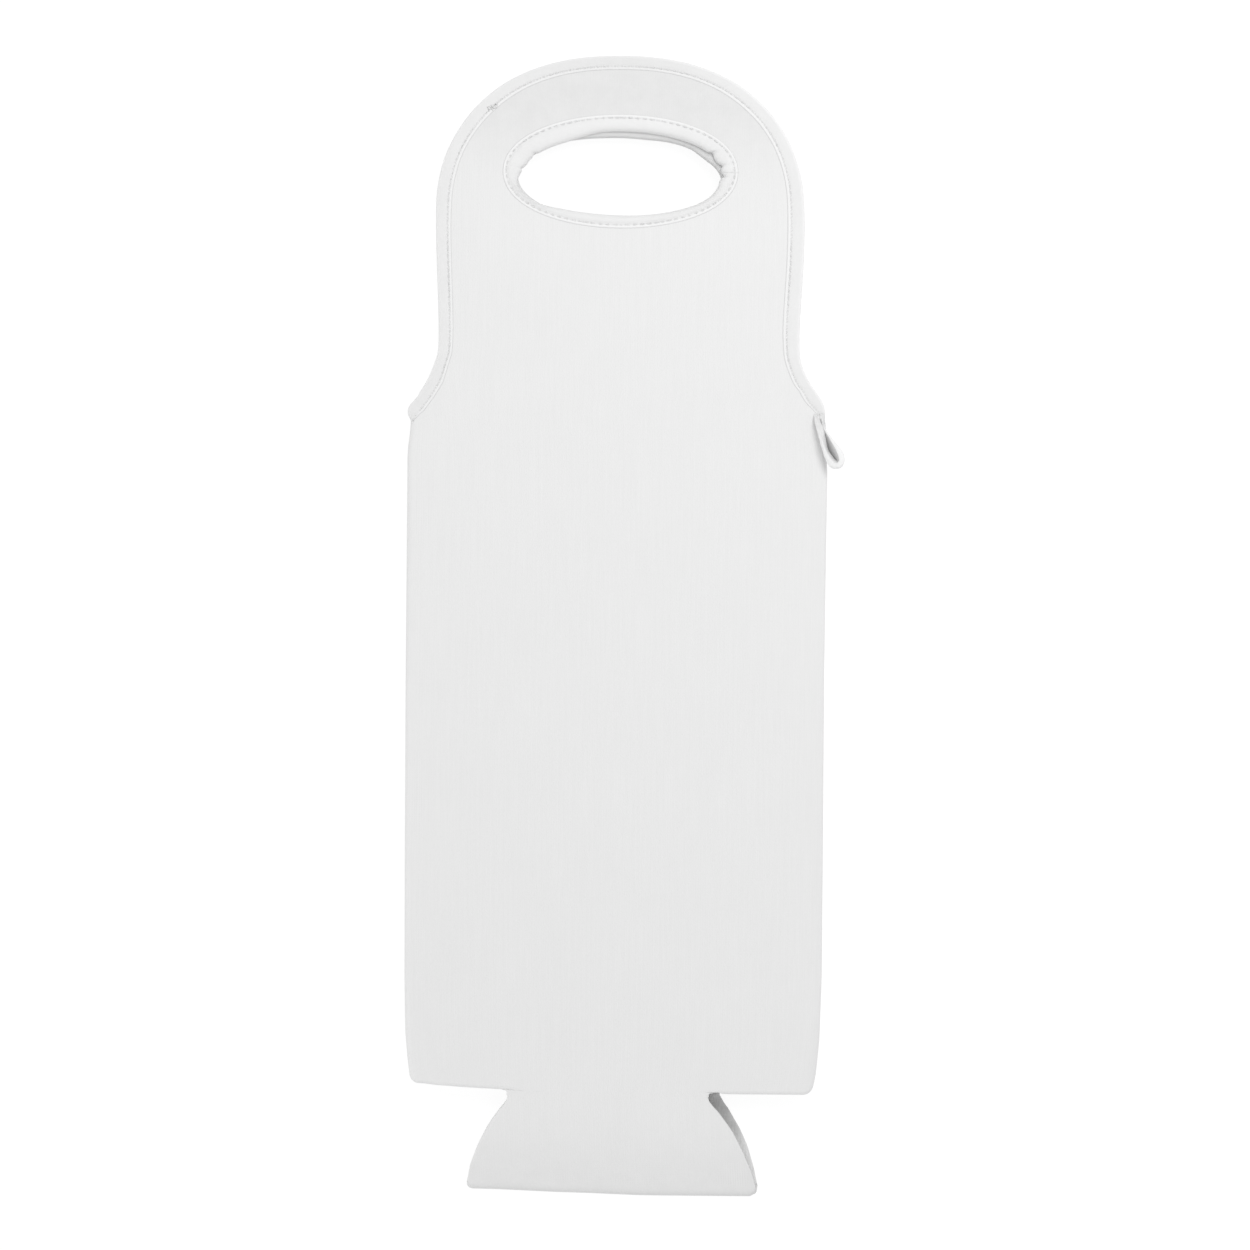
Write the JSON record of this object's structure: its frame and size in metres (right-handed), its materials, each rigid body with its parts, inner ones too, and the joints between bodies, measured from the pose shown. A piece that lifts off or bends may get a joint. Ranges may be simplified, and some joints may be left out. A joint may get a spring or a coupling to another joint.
{
  "type": "bottle carrier",
  "caption": "Soft padded sleeve for a single bottle, lying flat, with a round folding base, an arched carrying handle with a bound oval hand hole and a small tape loop at a seam.",
  "frame": {"origin": "middle of the outer face of the pouch's back sheet, which the carrier lies on", "axes": "+Y from the base towards the handle, +X to the side with the hanging loop as seen from the front, +Z out of the front face"},
  "size_m": [0.1558, 0.4027, 0.019],
  "materials": {
    "knit_face": "fine vertical knit, matte",
    "foam": "closed-cell foam, matte",
    "lining": "plain knit lining, matte",
    "binding_tape": "smooth stretch binding, slight sheen",
    "loop_tape": "narrow woven tape, matte",
    "thread": "polyester sewing thread"
  },
  "bodies": {
    "back_centre": {"back_panel_knit": "knit_face", "back_panel_foam": "foam", "back_panel_lining": "lining", "back_edge_binding": "binding_tape", "back_hole_binding": "binding_tape", "back_edge_stitches": "thread", "back_hole_stitches": "thread"},
    "back_left": {"back_left_knit": "knit_face", "back_left_foam": "foam", "back_left_lining": "lining", "left_seam_thread": "thread"},
    "back_right": {"back_right_knit": "knit_face", "back_right_foam": "foam", "back_right_lining": "lining"},
    "base_back": {"base_back_knit": "knit_face", "base_back_foam": "foam", "base_back_lining": "lining"},
    "base_front": {"base_front_knit": "knit_face", "base_front_foam": "foam", "base_front_lining": "lining"},
    "front_centre": {"front_panel_knit": "knit_face", "front_panel_foam": "foam", "front_panel_lining": "lining", "front_edge_binding": "binding_tape", "front_hole_binding": "binding_tape", "front_edge_stitches": "thread", "front_hole_stitches": "thread"},
    "front_left": {"front_left_knit": "knit_face", "front_left_foam": "foam", "front_left_lining": "lining"},
    "front_right": {"front_right_knit": "knit_face", "front_right_foam": "foam", "front_right_lining": "lining", "right_seam_thread": "thread", "loop_bar_tack": "thread"},
    "hang_loop": {"hang_loop": "loop_tape"}
  },
  "joints": [
    {"name": "pouch_opening", "type": "hinge", "parent": "back_centre", "child": "back_left", "pos_m": [-0.04, 0, 0.003], "axis": [0, 1, 0], "range_deg": [0, 85.5]},
    {"name": "left_seam", "type": "hinge", "parent": "back_left", "child": "front_left", "pos_m": [-0.075, 0, 0.0055], "axis": [0, -1, 0], "range_deg": [0, 171]},
    {"name": "front_left_crease", "type": "hinge", "parent": "front_left", "child": "front_centre", "pos_m": [-0.04, 0, 0.008], "axis": [0, 1, 0], "range_deg": [0, 85.5]},
    {"name": "front_right_crease", "type": "hinge", "parent": "front_centre", "child": "front_right", "pos_m": [0.04, 0, 0.008], "axis": [0, 1, 0], "range_deg": [0, 85.5]},
    {"name": "back_right_crease", "type": "hinge", "parent": "back_centre", "child": "back_right", "pos_m": [0.04, 0, 0.003], "axis": [0, -1, 0], "range_deg": [0, 85.5]},
    {"name": "back_base_crease", "type": "hinge", "parent": "back_centre", "child": "base_back", "pos_m": [0, -0.12, 0.003], "axis": [-1, 0, 0], "range_deg": [0, 85.5]},
    {"name": "front_base_crease", "type": "hinge", "parent": "front_centre", "child": "base_front", "pos_m": [0, -0.12, 0.008], "axis": [1, 0, 0], "range_deg": [0, 85.5]},
    {"name": "loop_swing", "type": "hinge", "parent": "front_right", "child": "hang_loop", "pos_m": [0.0714, 0.1183, 0.0114], "axis": [0, 0, 1], "range_deg": [-15, 110]}
  ],
  "couplings": [
    {"joint": "left_seam", "follows": "pouch_opening", "ratio": 2},
    {"joint": "front_left_crease", "follows": "pouch_opening", "ratio": 1},
    {"joint": "front_right_crease", "follows": "pouch_opening", "ratio": 1},
    {"joint": "back_right_crease", "follows": "pouch_opening", "ratio": 1},
    {"joint": "back_base_crease", "follows": "pouch_opening", "ratio": 1},
    {"joint": "front_base_crease", "follows": "pouch_opening", "ratio": 1}
  ]
}
